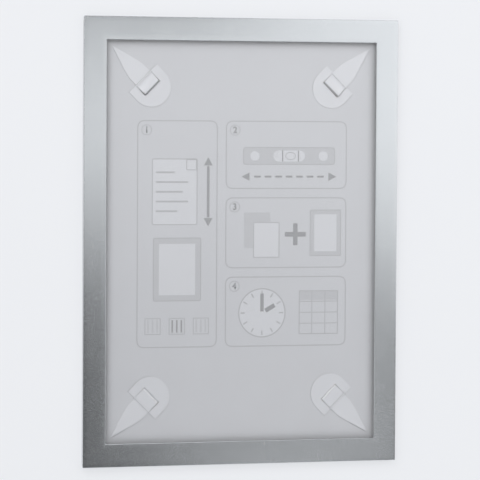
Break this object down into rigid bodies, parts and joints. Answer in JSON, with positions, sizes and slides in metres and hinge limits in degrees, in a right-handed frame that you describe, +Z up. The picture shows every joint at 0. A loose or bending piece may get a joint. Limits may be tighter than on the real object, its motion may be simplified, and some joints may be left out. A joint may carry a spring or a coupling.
{
  "type": "magnetic display frame",
  "caption": "Thin self-adhesive wall frame for an A4 sheet: a silver magnetic cover with a clear window swings open on a film hinge from a back sheet held by corner pads.",
  "frame": {"origin": "centre of the wall plane, which holds the rear faces of the adhesive pads, level with the middle of the frame", "axes": "+Z up, +Y into the wall, +X to the right as the frame is read, so that the frame faces -Y"},
  "size_m": [0.236, 0.0045, 0.323],
  "materials": {
    "silver_face": "plastic film with a silver metallic lacquer, satin, with smooth rounded edges",
    "clear_film": "clear glossy plastic film",
    "back_film": "translucent grey plastic sheet, satin",
    "patch_film": "translucent plastic film patch, semi-gloss",
    "tab_film": "translucent plastic film tab, semi-gloss",
    "adhesive_foam": "white double-sided adhesive foam",
    "magnet_strip": "flexible magnet strip, dark and matte",
    "hinge_film": "tough flexible plastic film"
  },
  "bodies": {
    "back": {"back_sheet": "back_film", "back_magnet_left": "magnet_strip", "back_magnet_right": "magnet_strip", "back_magnet_top": "magnet_strip", "back_magnet_bottom": "magnet_strip", "mounting_patch_top_left": "patch_film", "pull_tab_top_left": "tab_film", "adhesive_pad_top_left": "adhesive_foam", "mounting_patch_top_right": "patch_film", "pull_tab_top_right": "tab_film", "adhesive_pad_top_right": "adhesive_foam", "mounting_patch_bottom_left": "patch_film", "pull_tab_bottom_left": "tab_film", "adhesive_pad_bottom_left": "adhesive_foam", "mounting_patch_bottom_right": "patch_film", "pull_tab_bottom_right": "tab_film", "adhesive_pad_bottom_right": "adhesive_foam", "hinge_film": "hinge_film"},
    "front": {"front_frame": "silver_face", "window_film": "clear_film", "front_magnet_left": "magnet_strip", "front_magnet_right": "magnet_strip", "front_magnet_top": "magnet_strip", "front_magnet_bottom": "magnet_strip"}
  },
  "joints": [
    {"name": "front_fold", "type": "hinge", "parent": "back", "child": "front", "pos_m": [-0.11815, -0.00245, 0], "axis": [0, 0, -1], "range_deg": [0, 180], "deforming": ["hinge_film"]}
  ]
}
